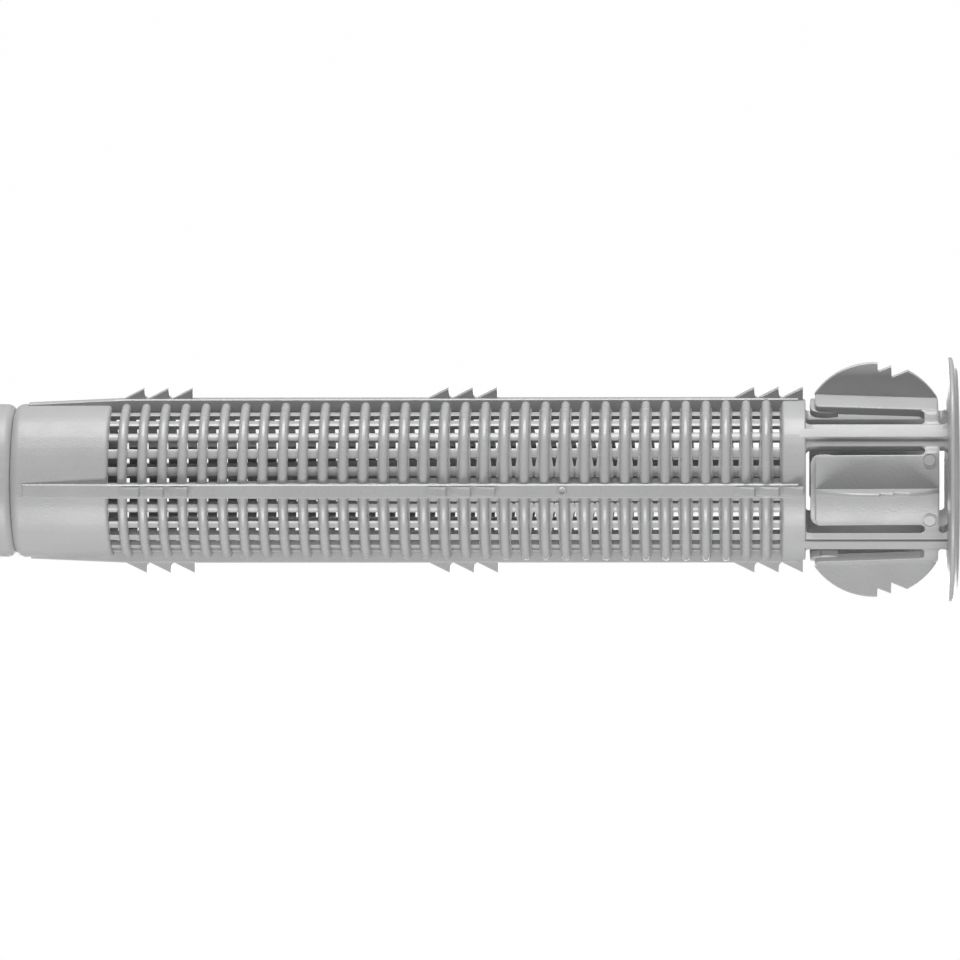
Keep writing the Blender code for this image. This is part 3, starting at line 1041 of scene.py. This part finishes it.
def make_floor():
    """Floor that glows by itself, so that it takes no shadow. The glow is painted light: the
    floor's own colour is dark, and the glow makes it pale, dim in the middle under the object and
    brighter away from it, and lights the object from below.
    """
    bm = bmesh.new()
    bmesh.ops.create_grid(bm, x_segments=1, y_segments=1, size=FLOOR_SIZE / 2)
    mesh = finished_mesh(bm, "floor")
    material = bpy.data.materials.new("floor")
    material.use_nodes = True
    nodes, links = material.node_tree.nodes, material.node_tree.links
    shader = nodes["Principled BSDF"]
    shader.inputs["Base Color"].default_value = (FLOOR_COLOUR, FLOOR_COLOUR, FLOOR_COLOUR, 1.0)
    shader.inputs["Roughness"].default_value = 1.0
    shader.inputs["Specular IOR Level"].default_value = 0.0
    shader.inputs["Emission Color"].default_value = (1.0, 1.0, 1.0, 1.0)
    place = nodes.new("ShaderNodeTexCoord").outputs["Object"]
    away = nodes.new("ShaderNodeVectorMath")
    away.operation = "LENGTH"
    links.new(place, away.inputs[0])
    split = nodes.new("ShaderNodeSeparateXYZ")
    links.new(place, split.inputs["Vector"])

    def glow(distance, bright):
        node = nodes.new("ShaderNodeMapRange")
        node.interpolation_type = "SMOOTHSTEP"
        node.inputs["From Min"].default_value = GLOW_FROM
        node.inputs["From Max"].default_value = GLOW_TO
        node.inputs["To Min"].default_value = GLOW_MIDDLE
        node.inputs["To Max"].default_value = bright
        links.new(distance, node.inputs["Value"])
        return node.outputs["Result"]

    # Painted light: the emission strength is dim under the object and brighter away from it, and it
    # lights the object from below.
    brighter = nodes.new("ShaderNodeMath")
    brighter.operation = "MAXIMUM"
    links.new(glow(away.outputs["Value"], GLOW_ROUND), brighter.inputs[0])
    links.new(glow(split.outputs["Y"], GLOW_BEHIND), brighter.inputs[1])
    links.new(brighter.outputs["Value"], shader.inputs["Emission Strength"])
    mesh.materials.append(material)
    floor = bpy.data.objects.new("floor", mesh)
    floor.location = (0.0, 0.0, FLOOR_Z)
    bpy.context.scene.collection.objects.link(floor)


def make_lamp(name, elevation, distance, size, radiance):
    """Softbox beside the object. Its elevation is counted from the front up over the top."""
    middle = Vector((TIP_X / 2.0 * MM, 0.0, 0.0))
    away = Vector((0.0, -math.cos(math.radians(elevation)), math.sin(math.radians(elevation))))
    light = bpy.data.lights.new(name, "AREA")
    light.shape = "RECTANGLE"
    light.size, light.size_y = size
    light.energy = radiance * math.pi * size[0] * size[1]
    lamp = bpy.data.objects.new(name, light)
    lamp.location = middle + away * distance
    lamp.rotation_euler = (math.radians(90.0 - elevation), 0.0, 0.0)
    lamp.visible_camera = False
    bpy.context.scene.collection.objects.link(lamp)


def make_lights():
    make_lamp("softbox_top", **TOP_LAMP)
    make_lamp("softbox_front", **FRONT_LAMP)
    make_lamp("softbox_back", **BACK_LAMP)
    world = bpy.data.worlds.new("studio")
    bpy.context.scene.world = world
    world.use_nodes = True
    background = world.node_tree.nodes["Background"]
    background.inputs["Color"].default_value = (1.0, 1.0, 1.0, 1.0)
    background.inputs["Strength"].default_value = WORLD
    bpy.context.scene.view_settings.view_transform = "Standard"


def make_camera():
    azimuth, elevation = math.radians(CAMERA_AZIMUTH), math.radians(CAMERA_ELEVATION)
    level = math.cos(elevation)
    back = Vector((math.sin(azimuth) * level, -math.cos(azimuth) * level, math.sin(elevation)))
    data = bpy.data.cameras.new("camera")
    data.lens = CAMERA_LENS
    data.sensor_width = CAMERA_SENSOR
    camera = bpy.data.objects.new("camera", data)
    camera.location = Vector(CAMERA_TARGET) + back * CAMERA_DISTANCE
    roll = Quaternion((0.0, 0.0, 1.0), math.radians(-CAMERA_ROLL))
    camera.rotation_euler = ((-back).to_track_quat("-Z", "Y") @ roll).to_euler()
    bpy.context.scene.collection.objects.link(camera)
    bpy.context.scene.camera = camera


make_camera()
make_lights()
make_floor()
make_tube()
make_gate_mark()
make_cap()
make_collar()
for strut, middle_deg in STRUT_NAMES.items():
    make_strut(strut, middle_deg)
for wing, middle_deg in WING_NAMES.items():
    make_wing(wing, middle_deg)
    if wing in EJECTOR_WINGS:
        make_ejector_marks(wing, middle_deg)
    for hand in (-1, 1):
        make_web(wing, middle_deg, hand)
